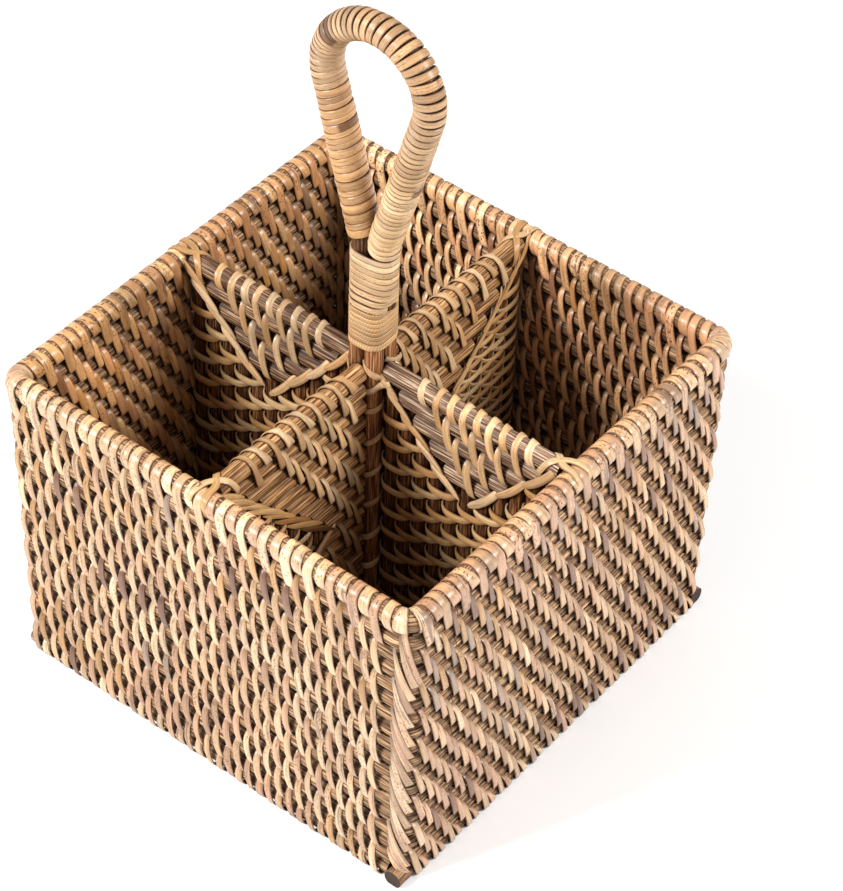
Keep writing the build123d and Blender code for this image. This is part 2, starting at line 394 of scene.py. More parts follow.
pieces = {}
for name, out in sides.items():
    face = Wall(out)
    straps, edge = Strips(), Strips()
    inner = aged * (shaded_inside if name == "left" else lit_inside)
    base = rng.uniform(-1, 1)
    between = base + strap_pitch / 2
    stop = front_stop if name == "front" else strap_stop
    for r in range(wall_rods):
        phase = base + strap_pitch / 2 * (r % 2) + rng.uniform(-0.5, 0.5)
        room = min(reach - lift_margin - rod_radius - rods[r + 1][0], most_lift)
        # Painted shade, darker towards the bottom of the holder
        deep_shaded = inner * float(np.interp(rods[r][1], *wall_depth_shade))
        lash(straps, face, rods[r], rods[r + 1], strap_start, stop, phase, lift=room, inside=deep_shaded, **wall_styles[name])
    # The right rim takes the darker copy of the wall tones: painted shade
    wrap, shades = (4.7, shaded_wall_tones[:3]) if name == "right" else (4.2, pale_tones)
    wound = {"palette": shades, "inside": inner, "spread": 1.0}
    lash(edge, face, hoops[-1], rim, rim_start, rim_pair_stop, base, wrap, lift=0.4, twist=(0, 4, 4, -6), **wound)
    lash(edge, face, rim, rim, rim_start, rim_stop, between, wrap, lift=0.2, twist=(0, 0, 0, 0), foot=(0.6, 0.32),
         **wound)
    along = np.linspace(-core_half, core_half, core_count)
    level = np.full(core_count, hoops[-1][1] + rod_radius + 0.02)
    path = face.at(along, np.full(core_count, rim[0]), level)
    upward = face.aim(along, level, np.zeros(core_count), np.ones(core_count))
    edge.add(path, upward, core_width, core_tone, core_thick)
    lash(straps, face, rail, rail, rail_start, stop, between, rail_strap_width)
    pieces[name] = straps, edge

# Corners

bend_radius = corner_radius + rod_radius + 0.75
bend = bend_radius * quarter_angle
# Places of the rim's wraps round a bend. At the front right corner they leave room for the straps that fall there.
open_wraps = (2.2, 3.6, 5.0, 12.4)
full_wraps = (2.4, 4.3, 6.2, 8.0, 9.8, 11.7, 13.4)
wrap_points, strap_points = 26, 22
corner_rows, corner_pitch, shortest_fall = 18, 8.1, 8
first_drops = (3.0, 5.6)


def corner_wrap(strips, quarter, s):
    """One turn of peel round the rim, s along the bend of a corner."""
    a = s / bend_radius - quarter_angle
    radial = np.array([math.cos(a), math.sin(a), 0])
    turn = np.radians(np.linspace(200, -160, wrap_points))
    outward = np.outer(np.cos(turn), radial) + np.outer(np.sin(turn), UP)
    middle = np.array([rim[0] - corner_radius, corner_radius - rim[0], rim[1]]) + radial * corner_radius
    swing = np.outer(np.linspace(-1, 1, wrap_points), np.cross(UP, radial))
    wide = np.interp(np.cos(turn), [-1, 0, 1], [1.4, 2.2, 2.9])
    path = middle + outward * (rim_radius + rng.uniform(0.05, 0.3)) + swing
    spin = quarter_turn(quarter)
    strips.add(path @ spin, outward @ spin, wide, pick(pale_tones), thick=0.6)


def corner_point(s, out, z):
    """On the front right corner: s runs along the front, round the bend and along the right side.

    Out is from the middle of the rods.
    """
    begin = wall_half(z) - corner_radius
    a = np.clip(s / bend_radius, 0, quarter_angle) - quarter_angle
    outward = np.stack([np.cos(a), np.sin(a), np.zeros_like(a)], -1)
    place = np.stack([begin + np.minimum(s, 0), -begin + np.maximum(s - bend, 0), z], -1)
    return place + outward * (corner_radius + out)[..., None], outward


def corner_strap(strips, stops, width, colour):
    """A strap through stops on the front right corner, each s, out, up and its outward direction's out and up."""
    line = smooth(stops, strap_points)
    path, outward = corner_point(line[:, 0], line[:, 1], line[:, 2])
    outward = outward * line[:, 3:4] + UP * line[:, 4:5]
    fall = np.linspace(0, 1, strap_points)
    wide = width * np.interp(fall, [0, 0.3, 0.65, 1], [0.4, 0.5, 0.8, 1])
    # Painted shade: the top of each strap is darker where it comes out from under the strap above
    colour = np.outer(np.interp(fall, [0, 0.25, 0.55], [0.35, 0.5, 1]), colour)
    strips.add(path, outward, wide, colour, thick=0.42, roll=-0.15)


def corner_straps():
    """Straps that fall across the front right corner, one for each rod, the highest from the top of the rim."""
    straps = Strips()
    for i in range(corner_rows):
        if i < len(first_drops):
            top = rim[1] - first_drops[i]
        else:
            top = rim[1] - first_drops[0] - corner_pitch * (i - 1) + rng.uniform(-0.8, 0.8)
        fall = min(rng.uniform(23.5, 26.5), top - 5.5)
        if fall < shortest_fall:
            continue
        s0, s1 = (4.1, 9.9) if i == 1 else (rng.uniform(1.5, 2.6), rng.uniform(8.4, 9.8))
        stops = [(s0, 1.6, top + 2.6, 0.6, 0.8)]
        if i == 0:
            s0, s1 = 5.6, 11.2
            stops = [
                (5.2, -3.9, rim[1] - 1.5, -1, -0.3),
                (5.3, -3.0, rim[1] + 2.9, -0.7, 0.7),
                (5.5, 0.0, rim[1] + 4.2, 0, 1),
                (5.6, 3.05, rim[1] + 3.0, 0.7, 0.7),
                (5.7, 4.2, rim[1] + 0.2, 1, 0),
            ]
        for u in (0.02, 0.12, 0.3, 0.5, 0.75, 1.0):
            out = np.interp(u, [0, 0.1, 1], [3.75, 3.95, 4.85])
            stops.append((s0 + (s1 - s0) * (0.55 * u + 0.45 * u * u), out, top - fall * u, 1, 0.0))
        corner_strap(straps, stops, rng.uniform(3.0, 3.5), pick(pale_tones) * rng.uniform(0.62, 1.06))
    return straps


for quarter, name in enumerate(sides):
    for s in open_wraps if quarter == 0 else full_wraps:
        corner_wrap(pieces[name][1], quarter, s)
    if quarter == 0:
        pieces[name] += (corner_straps(),)

# Partitions

course = [(0.0, course_z(i), rod_radius) for i in range(course_count)]
panel_middle = (panel_start + panel_end) / 2
stitch_shape = ((0, 0.15, 0.4, 0.7, 1), (0.25, 0.75, 1, 0.95, 0.5))
leaf_shape = ((0, 0.3, 0.6, 0.85, 1), (0.35, 0.9, 1, 0.7, 0.12))
bar_shape = ((0, 0.15, 0.6, 0.9, 1), (0.5, 0.9, 1, 0.9, 0.45))
# How a leaf lies over a seam: the share of its length, and its height there
leaf_lie = ((-0.5, -1.7), (-0.36, -0.35), (-0.1, 0.0), (0.2, 0.1), (0.5, -0.15))


def stitch(strips, face, first, z, width, colour):
    """A strap over two uprights: a curled tip at the left, a low middle, the right end tucked in higher."""
    r, p = upright_radius, upright_pitch
    stops = [
        (first - 0.55 * p, 0.6, z + 2.8, -0.9, 0.5, 0),
        (first - 0.46 * p, 2.4, z + 1.0, -0.8, 0.7, 0),
        (first - 0.1 * p, r + 0.2, z - 0.1, -0.15, 1, 0),
        (first + 0.5 * p, r + 0.35, z - 0.2, 0, 1, 0),
        (first + 1.0 * p, r + 0.2, z + 0.6, 0.15, 1, 0),
        (first + 1.4 * p, 2.2, z + 1.7, 0.7, 0.7, 0),
        (first + 1.52 * p, 0.4, z + 2.4, 0.9, 0.4, 0),
    ]
    # Painted shade, darker towards the bottom of the holder
    colour = colour * np.interp(z, *stitch_depth_shade)
    band(strips, face, stops, width, colour, thick=0.65, count=18, shape=stitch_shape)


def leaf(strips, face, along, z, tilt, length, width, out, colour, shape):
    """A strap laid slantwise over a seam, its middle at along and z, its ends tucked in or lying flat."""
    run, fall = math.cos(tilt) * length, math.sin(tilt) * length
    stops = []
    for share, lift in leaf_lie:
        bow = 0.8 * math.sin(math.pi * (share + 0.5))
        x, y = along + run * share + bow * math.sin(tilt), z - fall * share + bow * math.cos(tilt)
        stops.append((x, out + lift, y, 0, 1, 0))
    band(strips, face, stops, width, colour, thick=0.6, count=13, shape=shape)


def left_seam(strips, face, edge, count, length, width, palette=panel_tones):
    """Straps over the left ends of the courses, each flatter than the seam."""
    for i in range(count):
        along, z = edge + i * upright_pitch + 1.6, course_z(i) - 2.8
        out = rod_radius + 0.2 + 0.3 * (i % 2)
        tilt = math.radians(rng.uniform(31, 38))
        size = length * rng.uniform(0.9, 1.08), width * rng.uniform(0.9, 1.1)
        leaf(strips, face, along, z, tilt, *size, out, pick(palette), leaf_shape)


def right_seam(strips, face, edge, count, length, width):
    """Thin straps that run down along the right ends of the courses, in pairs."""
    for i in range(count):
        for side in (-0.9, 0.9):
            along, z = edge - i * upright_pitch - 3.5 + side, course_z(i) - 3.8 + side
            out = rod_radius + 0.15 + 0.25 * (i % 2) + 0.1 * side
            tilt = math.pi - math.radians(rng.uniform(44, 52))
            size = length * rng.uniform(0.8, 1.08), width * rng.uniform(0.75, 1.2)
            leaf(strips, face, along, z, tilt, *size, out, pick(golden_tones), bar_shape)


def rope_seam(strips, face, edge, count, width):
    """Broad bars over the right ends of the courses, each a little steeper than the seam."""
    for k in range(count):
        i = (k + 0.5) * 5 / count - 0.1
        along, z = edge - i * upright_pitch - 2.0, course_z(i) - 0.6
        tilt = math.pi - math.radians(rng.uniform(49, 54))
        size = rng.uniform(17.5, 20), width * rng.uniform(0.9, 1.1)
        leaf(strips, face, along, z, tilt, *size, rod_radius + 0.5 - 0.15 * k, pick(panel_tones), bar_shape)


# Left and right partitions: five level rods in a hanging triangle, over eleven uprights
level_rods, lowest_stitch, stitch_step = 5, 12.5, 12.2
for name in ("right", "left"):
    way = np.array(sides[name], float)
    lashings, seams = Strips(), Strips()
    face = Face(sides["front"])
    centre = panel_middle * float(way @ face.along)
    # A lighter copy of the panel tones on the right partition and a slightly darker one on the left: painted light and
    # shade
    shift, light = (0.6, 1.24) if name == "right" else (3.8, 0.96)
    tied = {"pitch": panel_pitch, "palette": [(t * light, weight) for t, weight in panel_tones], "inside": 1.0}
    top = course[0]
    for i in range(level_rods - 1):
        spaces = level_rods - 2 - i
        first = centre + spaces * 1.1 - shift - spaces / 2 * panel_pitch
        last = first + spaces * panel_pitch
        lash(lashings, face, course[i + 1], course[i], first - 1, last + 1, first, width=2.9, **tied)
        if i == 0:
            middle = first + panel_pitch / 2
            lash(lashings, face, top, top, first - 1, last + 8, middle, width=3.0, lift=0.2, **tied)
            lash(lashings, face, top, top, first - 9, first - 6, first - 7.8, width=3.0, lift=0.2, **tied)
    for out in (-1, 1):
        face = Face((0, out, 0))
        turned = float(way @ face.along)
        places = sorted(turned * upright_x(i) for i in range(upright_count))
        heads = [course_z(min(i, upright_count - 1 - i, level_rods - 1)) - rod_radius for i in range(upright_count)]
        for k in range(upright_count - 1):
            z = lowest_stitch + (4.4 * k) % stitch_step
            while z + 4.5 < min(heads[k], heads[k + 1]):
                stitch(seams, face, places[k], z + rng.uniform(-0.6, 0.6), rng.uniform(3.1, 3.8), pick(golden_tones))
                z += stitch_step
        bars, length, width = (4, 20.0, 4.4) if out * float(way[0]) > 0 else (3, 17.0, 3.5)
        left_seam(seams, face, places[0] - upright_pitch / 2, level_rods, length, width)
        rope_seam(seams, face, places[-1] + upright_pitch / 2, bars, width=3.4)
    pieces[f"partition_{name}"] = lashings, seams

# Front and back partitions: level rods from the posts, mitred into a triangle of eight uprights at the wall
mitred, close_step = 8, 7.0
bar_length, bar_width = 20.0, 2.8
for name in ("back", "front"):
    way = np.array(sides[name], float)
    lashings, seams = Strips(), Strips()
    face = Face(sides["right"])
    turned = float(way @ face.along)
    tied = {"pitch": panel_pitch, "palette": panel_tones, "inside": 1.0}
    least_bare, most_bare, top_bare = (5, 8.5, 19) if name == "front" else (2.5, 7, 10)
    for i in range(course_count - 1):
        inset = max(min(k, course_count - 1 - k, mitred) for k in (i, i + 1))
        end = panel_end - inset * upright_pitch - rng.uniform(least_bare, most_bare)
        start, stop = sorted((turned * (panel_start + 2.5), turned * end))
        phase = panel_pitch * 0.47 * i + rng.uniform(-0.4, 0.4)
        lash(lashings, face, course[i + 1], course[i], start, stop - 3, phase, width=3.3, **tied)
    start, stop = sorted((turned * (panel_start + 0.5), turned * (panel_end - top_bare)))
    lash(lashings, face, course[0], course[0], start, stop - 1, panel_pitch / 2, width=3.9, lift=0.2, **tied)
    for out in (1, -1):
        face = Face((out, 0, 0))
        turned = float(way @ face.along)
        for k in range(mitred - 1):
            first = min(turned * upright_x(upright_count - n - k) for n in (1, 2))
            z, high = course_z(course_count - 2 - k) + 7, course_z(k + 1) - 8
            z += (1.9 * first / upright_pitch) % close_step
            while z < high:
                stitch(seams, face, first, z + rng.uniform(-0.6, 0.6), rng.uniform(2.6, 3.1), pick(golden_tones))
                z += close_step
        if turned > 0:
            right_seam(seams, face, panel_end, mitred, length=25.0, width=2.3)
        else:
            left_seam(seams, face, -panel_end, mitred, length=22.0, width=2.9, palette=burnt_tones)
        tilt = math.radians(-40) if turned < 0 else math.radians(220)
        for i in range(mitred + 1, course_count):
            end = turned * (panel_end - (course_count - 1 - i) * upright_pitch)
            along, z, lie = end - turned * 3, course_z(i) + 3, rod_radius + 0.2 + 0.25 * (i % 2)
            leaf(seams, face, along, z, tilt, bar_length, bar_width, lie, pick(panel_tones), bar_shape)
    pieces[f"partition_{name}"] = lashings, seams

# Ties that hold the top of each partition to the rim
ties = Strips()
tie_width, tie_shape = 2.9, ((0, 0.5, 1), (0.8, 1, 0.8))
for out in sides.values():
    face = Face(out)
    for flip in (1, -1):
        stops = [
            (flip * 3.0, rim[0] + 3.0, rim[1] - 4.0, 0, 0.9, -0.4),
            (flip * 3.4, rim[0] + 3.9, rim[1] + 2.2, 0, 0.9, 0.5),
            (flip * 2.6, rim[0] + 0.6, rim[1] + 4.6, 0, 0.1, 1),
            (flip * 1.6, rim[0] - 4.6, rim[1] + 4.3, 0, -0.2, 1),
            (-flip * 2.4, rim[0] - 9.5, rim[1] + 3.6, -flip * 0.4, -0.1, 0.9),
            (-flip * 4.4, rim[0] - 12.5, rim[1] - 1.0, -flip * 1.0, 0, 0.2),
            (-flip * 3.6, rim[0] - 13.5, rim[1] - 4.6, -flip * 0.8, 0, -0.6),
        ]
        band(ties, face, stops, tie_width, pick(golden_tones) * 0.85, thick=0.6, count=22, shape=tie_shape)


# Ties round the posts, their planes tilted the same way

def post_ring(strips, middle, radius, slope, width, colour):
    """A tied ring round a post, higher to the right."""
    a = np.radians(np.linspace(0, 374, 36) + rng.uniform(0, 360))
    outward = np.column_stack([np.cos(a), np.sin(a), np.zeros(len(a))])
    path = radius * (outward + np.outer(slope * (outward @ rightward), UP)) + np.array(middle)
    strips.add(path, outward, width, colour, thick=0.6)


lowest_ring, highest_ring = 20.0, 132
for sx in (1, -1):
    for sy in (1, -1):
        z = lowest_ring + rng.uniform(0, 8)
        while z < highest_ring:
            slope, width = rng.uniform(0.45, 0.75), rng.uniform(2.4, 3.0)
            middle = (sx * post_offset, sy * post_offset, z)
            post_ring(ties, middle, post_radius + 0.08, slope, width, pick(panel_tones) * 1.15)
            z += rng.uniform(15.5, 18)

# Two straps round the outer side of each post, which cross on the partition beside it.
# Each has its angles and heights round the post, then points on the partition.
crossing_radius, crossing_width = 3.72, 2.7
crossing = [
    (
        [(-150, 147.0), (-110, 146.0), (-70, 144.6), (-35, 142.9)],
        [(8.0, -4.3, 141.4), (9.7, -4.5, 140.2), (11.3, -4.2, 139.2)],
    ),
    (
        [(-150, 133.6), (-110, 134.0), (-70, 135.4), (-35, 137.2)],
        [(8.3, -4.35, 138.6), (10.2, -4.4, 139.9), (12.2, -4.1, 141.0)],
    ),
]
for quarter in range(4):
    spin = quarter_turn(quarter)
    for wound, ends in crossing:
        stops = []
        for angle, z in wound:
            x, y = math.cos(math.radians(angle)), math.sin(math.radians(angle))
            stops.append((post_offset + crossing_radius * x, -post_offset + crossing_radius * y, z, x, y, 0))
        line = smooth(stops + [(*end, 0, -1, 0) for end in ends], 24)
        ties.add(line[:, :3] @ spin, line[:, 3:] @ spin, crossing_width, pick(panel_tones), thick=0.6)

# Handle: flat peel wound from one leg over the crown to the other.
# Places on it are distances from the top of the crown, below zero on the left leg.
crown_half = crown_radius * (quarter_angle + lean)
leg_length = (crown_radius * math.cos(lean) - leg_offset) / math.sin(lean)
handle_pitch = ((-99, -60, -42, -12, 5, 50, 66, 84, 99), (3.2, 2.9, 2.5, 2.3, 3.3, 3.2, 2.3, 2.1, 2.5))
handle_fill = ((-100, -50, -22, 2, 14, 45, 74, 86, 111), (0.99, 0.985, 0.95, 0.97, 0.94, 0.86, 0.82, 0.88, 0.94))
handle_build = ((-60, -20, 30, 70), (1.0, 0.5, 0.5, 0.75))
handle_slant = ((-60, 60), (1.5, -1.2))
uneven_end, uneven, even = -20, (0.7, 1.3), (0.9, 1.1)
crown_cut = 33
turn_steps, turn_start = 30, math.radians(97)
# The tint along the handle, in red, green and blue: partly the peel's own tone, partly painted light that brightens
# the left leg
tint_places = (-100, -75, -45, -10, 35, 70, 95)
handle_tone_and_light = [
    (1.0, 0.98, 0.84, 0.88, 0.72, 1.04, 1.28),
    (0.92, 0.9, 0.76, 0.87, 0.67, 1.09, 1.38),
    (0.78, 0.76, 0.67, 0.9, 0.63, 1.12, 1.48),
]
# Dark stains: the place, the angle round the handle, half the length and the share of the turn
stain_tint = np.array([0.3, 0.22, 0.16])
stains = [
    (-21.0, -1.1, 2.4, 0.5),
    (-62.0, 2.6, 1.6, 0.9),
    (-47.0, 0.9, 1.0, 0.5),
    (-90.0, 0.3, 1.6, 0.8),
    (76.0, 1.0, 1.8, 0.9),
    (40.0, 2.0, 1.0, 0.6),
]


def handle_axis(distance):
    """Points and outward directions on the handle's axis."""
    bow = np.clip(distance, -crown_half, crown_half)
    leg = np.clip(distance - bow, -leg_length, leg_length)
    a = bow / crown_radius
    zero = np.zeros_like(a)
    outward = np.stack([np.sin(a), zero, np.cos(a)], 1)
    forward = np.stack([np.cos(a), zero, -np.sin(a)], 1)
    foot = np.stack([zero, zero, -np.abs(distance - bow - leg)], 1)
    return np.array([0, 0, crown_z]) + outward * crown_radius + forward * leg[:, None] + foot, outward


def round_handle(outward, a):
    """Directions from the handle's axis at angles round it."""
    return outward * np.cos(a)[:, None] + np.array([0, 1.0, 0]) * np.sin(a)[:, None]


handle = {"left": Strips(), "crown": Strips(), "right": Strips()}
stations = [-crown_half - leg_length + 0.5]
while stations[-1] < crown_half + leg_length + 3.5:
    d = stations[-1]
    stations.append(d + np.interp(d, *handle_pitch) * rng.uniform(*(uneven if d < uneven_end else even)))
numbers = np.arange(len(stations))
cuts = [0, *(int(np.searchsorted(stations, cut)) for cut in (-crown_cut, crown_cut)), len(stations) - 1]
lifts = np.array([rng.uniform(0.0, 0.2) for _ in stations])
tones = runs(len(stations), straw_tones, 3, 10)
for strips, first, last in zip(handle.values(), cuts, cuts[1:]):
    t = np.linspace(first, last, (last - first) * turn_steps + 1)
    d = np.interp(t, numbers, stations)
    gap = np.interp(t, numbers[:-1] + 0.5, np.diff(stations))
    a = 2 * np.pi * t + turn_start
    swing = round_handle(handle_axis(d)[1], a)
    axis, outward = handle_axis(d + np.interp(d, *handle_slant) * (swing @ rightward))
    swing = round_handle(outward, a)
    turn = np.minimum(t.astype(int), len(stations) - 2)
    # The handle's tone along its length, with painted light on the left leg
    colours = tones[turn] * np.stack([np.interp(d, tint_places, row) for row in handle_tone_and_light], 1)
    for middle, angle, long, share in stains:
        near = (np.abs(d - middle) < long) & (np.cos(a - angle) > 1 - share)
        colours = np.where(near[:, None], colours * stain_tint, colours)
    stout = handle_radius + np.interp(d, *handle_build) + lifts[turn]
    width = gap * np.interp(d, *handle_fill)
    strips.add(axis + swing * stout[:, None], swing, width, colours, thick=0.9, roll=0.06)

# Neck: peel round the posts below and the legs above
neck = {"low": Strips(), "high": Strips()}
neck_change = neck_bottom + 20
neck_pitch = {"low": 2.15, "high": 2.75}
neck_fill = {"low": 0.9, "high": 0.95}
neck_tint = {"foot": (1.22, 1.2, 1.14), "low": (1.1, 1.0, 0.82), "high": (1.3, 1.42, 1.56)}
neck_steps, neck_start = 48, math.radians(127)
waist_start, waist_length = 171, 12


def neck_ring(a, z):
    """Rounded rectangle round the posts at the foot and round the two legs at the top."""
    s = np.clip((z - waist_start) / waist_length, 0, 1)
    s = s * s * (3 - 2 * s)
    half_x, half_y, q = 7.4 + 2.0 * s, 7.4 - 2.2 * s, 3.4 - 0.9 * s
    x, y = np.cos(a), np.sin(a)
    r = (np.abs(x / half_x) ** q + np.abs(y / half_y) ** q) ** (-1 / q)
    px, py = np.abs(r * x / half_x), np.abs(r * y / half_y)
    slope = np.stack([np.sign(x) * px ** (q - 1) / half_x, np.sign(y) * py ** (q - 1) / half_y], 1)
    return np.stack([r * x, r * y, z], 1), np.column_stack([unit(slope), np.zeros(len(a))])


heights = [neck_bottom + 2.0, neck_bottom + 5.6]
while heights[-1] < neck_top - 1.6:
    z = heights[-1]
    heights.append(z + neck_pitch["low" if z < neck_change else "high"] * rng.uniform(0.93, 1.07))
numbers = np.arange(len(heights))
split = int(np.searchsorted(heights, neck_change))
for name, first, last in (("low", 0, split), ("high", split, len(heights) - 1)):
    t = np.linspace(first, last, (last - first) * neck_steps + 1)
    path, outward = neck_ring(2 * np.pi * t + neck_start, np.interp(t, numbers, heights))
    turn = np.minimum(t.astype(int), len(heights) - 2)
    colours = runs(len(heights), straw_tones, 2, 6)[turn]
    colours = colours * np.where((t > 1.0)[:, None], neck_tint[name], neck_tint["foot"])
    gap = np.interp(t, numbers[:-1] + 0.5, np.diff(heights))
    neck[name].add(path, outward, gap * neck_fill[name], colours, thick=0.75, roll=-0.05)


# Materials

def link_or_set(tree, socket, value):
    if isinstance(value, bpy.types.NodeSocket):
        tree.links.new(value, socket)
    else:
        socket.default_value = value


def node(tree, kind, inputs=(), **settings):
    made = tree.nodes.new(kind)
    for key, value in settings.items():
        setattr(made, key, value)
    for key, value in dict(inputs).items():
        link_or_set(tree, made.inputs[key], value)
    return made


def maths(tree, operation, a, b=0.0):
    return node(tree, "ShaderNodeMath", {0: a, 1: b}, operation=operation).outputs[0]


def times(tree, a, b):
    return maths(tree, "MULTIPLY", a, b)


def joined(tree, x, y, z):
    return node(tree, "ShaderNodeCombineXYZ", {0: x, 1: y, 2: z}).outputs[0]


def parted(tree, vector):
    return node(tree, "ShaderNodeSeparateXYZ", {0: vector}).outputs


def noise(tree, vector, detail, rough):
    inputs = {"Vector": vector, "Scale": 1.0, "Detail": detail, "Roughness": rough}
    return node(tree, "ShaderNodeTexNoise", inputs).outputs[0]


def ramp(tree, value, low, high, to_low=0.0, to_high=1.0):
    inputs = {0: value, 1: low, 2: high, 3: to_low, 4: to_high}
    return node(tree, "ShaderNodeMapRange", inputs, clamp=True).outputs[0]


def mix(tree, share, a, b, blend="MIX"):
    made = node(tree, "ShaderNodeMix", data_type="RGBA", blend_type=blend)
    link_or_set(tree, made.inputs[0], share)
    for key, value in ((6, a), (7, b)):
        link_or_set(tree, made.inputs[key], value if isinstance(value, bpy.types.NodeSocket) else (*value, 1.0))
    return made.outputs[2]


def shaded(tree, base, value, low, high, to_low, to_high):
    """A colour made darker or lighter by a value's place between two limits."""
    share = ramp(tree, value, low, high, to_low, to_high)
    return mix(tree, 1.0, base, joined(tree, share, share, share), "MULTIPLY")


def started(name):
    material = bpy.data.materials.new(name)
    material.use_nodes = True
    return material, material.node_tree, material.node_tree.nodes["Principled BSDF"]


# Painted shade in crevices: how far it reaches, and the dark colour mixed in there
crevice_reach, crevice_shade_tone = 0.005, tone(34, 17, 8)
speck_tone, stain_tone = tone(112, 74, 46), tone(126, 98, 82)
hatch_tone, edge_wear_and_shade_tone, end_tone = tone(120, 84, 52), tone(108, 72, 46), tone(58, 42, 32)


def crevice_shade(tree, base, least):
    """Darkens a colour where other pieces lie close: painted shade in crevices and between parts."""
    close = node(tree, "ShaderNodeAmbientOcclusion", {"Distance": crevice_reach}, samples=4).outputs["AO"]
    return mix(tree, ramp(tree, close, 0.1, 0.72, 1.0 - least, 0.0), base, crevice_shade_tone)


def finish(tree, shader, base, height, gloss, bump, depth):
    tree.links.new(base, shader.inputs["Base Color"])
    tree.links.new(ramp(tree, height, 0.25, 0.75, gloss + 0.14, gloss - 0.04), shader.inputs["Roughness"])
    made = node(tree, "ShaderNodeBump", {"Strength": bump, "Distance": depth, "Height": height})
    tree.links.new(made.outputs[0], shader.inputs["Normal"])


def peel(name, gloss, speck, hatch=0.0, worn_shaded_edge=0.5):
    """Rattan peel: a tone for each strip, fibres along it, dark specks on the older ones, edges darkened partly by
    wear and partly as painted shadow, and painted shade in crevices.
    """
    material, tree, shader = started(name)
    colour = node(tree, "ShaderNodeAttribute", attribute_name="tone").outputs["Color"]
    x, y, z = parted(tree, node(tree, "ShaderNodeAttribute", attribute_name="strip").outputs["Vector"])
    seed = times(tree, z, 7.3)

    def field(along, over, detail=2.0, rough=0.55):
        return noise(tree, joined(tree, times(tree, x, along), times(tree, y, over), seed), detail, rough)

    fibre, patch, marks, age = field(0.05, 3.4, 3.0, 0.65), field(0.1, 0.6), field(0.95, 2.2), field(0.02, 0.0)
    base = shaded(tree, colour, fibre, 0.3, 0.7, 0.6, 1.2)
    base = shaded(tree, base, patch, 0.3, 0.7, 0.82, 1.1)
    specks = times(tree, ramp(tree, marks, 0.56, 0.66), ramp(tree, age, 0.4, 0.62, 0.1 * speck, speck))
    base = mix(tree, specks, base, speck_tone)
    blots = ramp(tree, field(0.035, 0.9), 0.57, 0.64)
    base = mix(tree, times(tree, blots, ramp(tree, age, 0.35, 0.6, 0.0, 0.8 * speck)), base, stain_tone)
    if hatch:
        slant = maths(tree, "SINE", maths(tree, "ADD", times(tree, x, 5.6), times(tree, y, 2.4)))
        base = mix(tree, ramp(tree, slant, 0.1, 0.8, 0.0, hatch), base, hatch_tone)
    # Darker edges: partly worn peel, partly painted shadow that parts each strap from its neighbours
    edge = ramp(tree, maths(tree, "ABSOLUTE", y), 0.76, 1.0, 0.0, worn_shaded_edge)
    base = mix(tree, edge, base, edge_wear_and_shade_tone)
    finish(tree, shader, crevice_shade(tree, base, least=0.32), fibre, gloss, bump=0.4, depth=0.0003)
    return material


def rod(name, axis, dark, middle, light, gloss=0.6, fineness=1700.0):
    """Rattan core: fine streaks along the rod, set by where a point lies on the rod's section, dark cut ends, and
    painted shade in crevices.
    """
    material, tree, shader = started(name)
    place = node(tree, "ShaderNodeNewGeometry").outputs
    x, y, z = parted(tree, place["Position"])
    if axis == "hoop":
        inset = (rim[0] - corner_radius - 0.6) * MM
        px, py = maths(tree, "ABSOLUTE", x), maths(tree, "ABSOLUTE", y)
        over = [maths(tree, "MAXIMUM", maths(tree, "SUBTRACT", p, inset), 0.0) for p in (px, py)]
        out = node(tree, "ShaderNodeVectorMath", {0: joined(tree, *over, 0.0)}, operation="LENGTH").outputs["Value"]
        along, one, two = maths(tree, "SUBTRACT", px, py), out, z
    else:
        along, one, two = {"x": (x, y, z), "y": (y, x, z), "z": (z, x, y)}[axis]

    def streak(length, fine, detail):
        parts = (times(tree, along, length), times(tree, one, fine), times(tree, two, fine))
        return noise(tree, joined(tree, *parts), detail, 0.6)

    fine, broad = streak(60.0, fineness, 3.0), streak(24.0, 500.0, 2.0)
    base = mix(tree, ramp(tree, fine, 0.4, 0.54), dark, middle)
    base = mix(tree, ramp(tree, fine, 0.53, 0.64), base, light)
    base = shaded(tree, base, broad, 0.32, 0.68, 0.6, 1.15)
    if axis in "xy":
        facing = maths(tree, "ABSOLUTE", parted(tree, place["True Normal"])["xy".index(axis)])
        base = mix(tree, ramp(tree, facing, 0.8, 0.95), base, end_tone)
    shader.inputs["Specular IOR Level"].default_value = 0.25
    finish(tree, shader, crevice_shade(tree, base, least=0.1), fine, gloss, bump=0.6, depth=0.0004)
    return material


wall_peel = peel("wall_peel", gloss=0.24, speck=0.95, worn_shaded_edge=0.6)
corner_peel = peel("corner_peel", gloss=0.28, speck=0.9, worn_shaded_edge=0.9)
edge_peel = peel("edge_peel", gloss=0.24, speck=1.3, worn_shaded_edge=0.75)
panel_peel = peel("panel_peel", gloss=0.25, speck=0.4)
straw_peel = peel("straw_peel", gloss=0.32, speck=0.7, worn_shaded_edge=0.8)
hatched_peel = peel("hatched_peel", gloss=0.4, speck=0.4, hatch=0.35)
brown = (tone(84, 55, 35), tone(156, 117, 83), tone(213, 177, 134))
golden = (tone(92, 56, 28), tone(168, 120, 74), tone(216, 172, 118))
dark = (tone(48, 26, 14), tone(104, 64, 38), tone(164, 116, 72))
ruddy = (tone(102, 60, 34), tone(164, 108, 70), tone(210, 158, 112))
ash = (tone(82, 57, 42), tone(146, 112, 86), tone(222, 193, 162))
umber = (tone(62, 39, 26), tone(116, 82, 57), tone(196, 159, 122))
